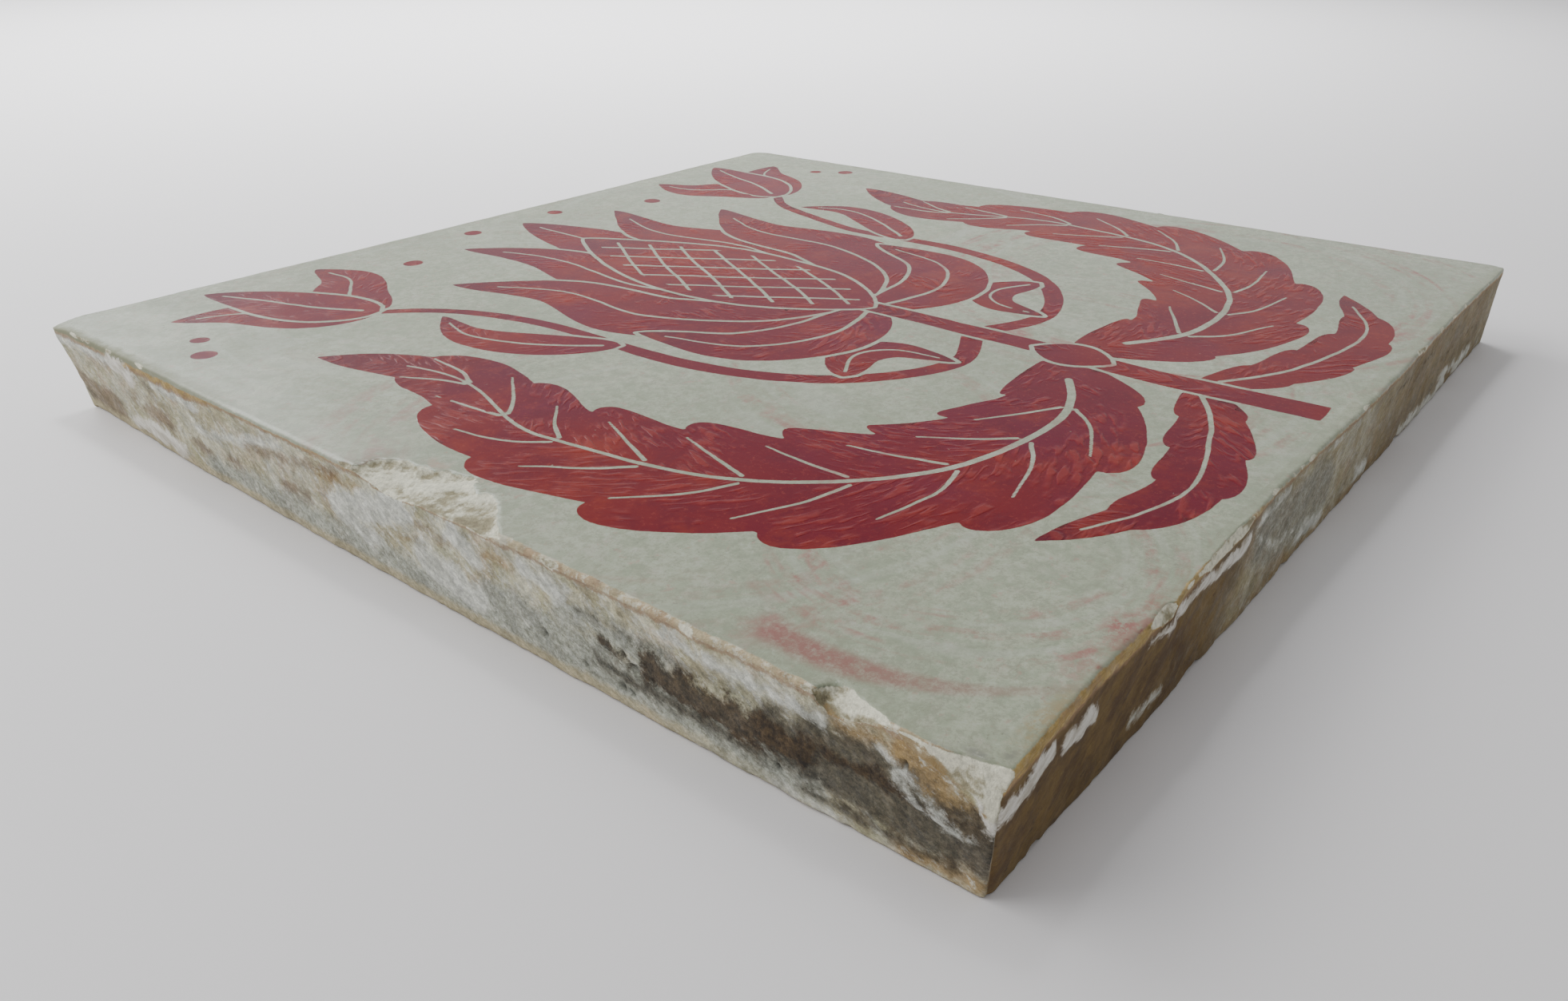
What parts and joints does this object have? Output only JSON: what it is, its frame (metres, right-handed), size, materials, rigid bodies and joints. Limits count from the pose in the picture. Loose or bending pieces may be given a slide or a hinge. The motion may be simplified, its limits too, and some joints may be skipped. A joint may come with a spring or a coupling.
{
  "type": "lustre tile",
  "caption": "Square glazed wall tile of fired clay with a red lustre plant design, undercut sides, chipped edges and a broken corner.",
  "frame": {"origin": "centre of the underside, the bedding face, on the surface that the tile lies on", "axes": "+X to the right of the painted design, +Y to its top, +Z out of the glazed face"},
  "size_m": [0.152, 0.1519, 0.0122],
  "materials": {
    "glazed_clay": "gloss glaze on the face, bare fired clay on the sides and back"
  },
  "bodies": {
    "root": {"tile": "glazed_clay"}
  },
  "joints": []
}
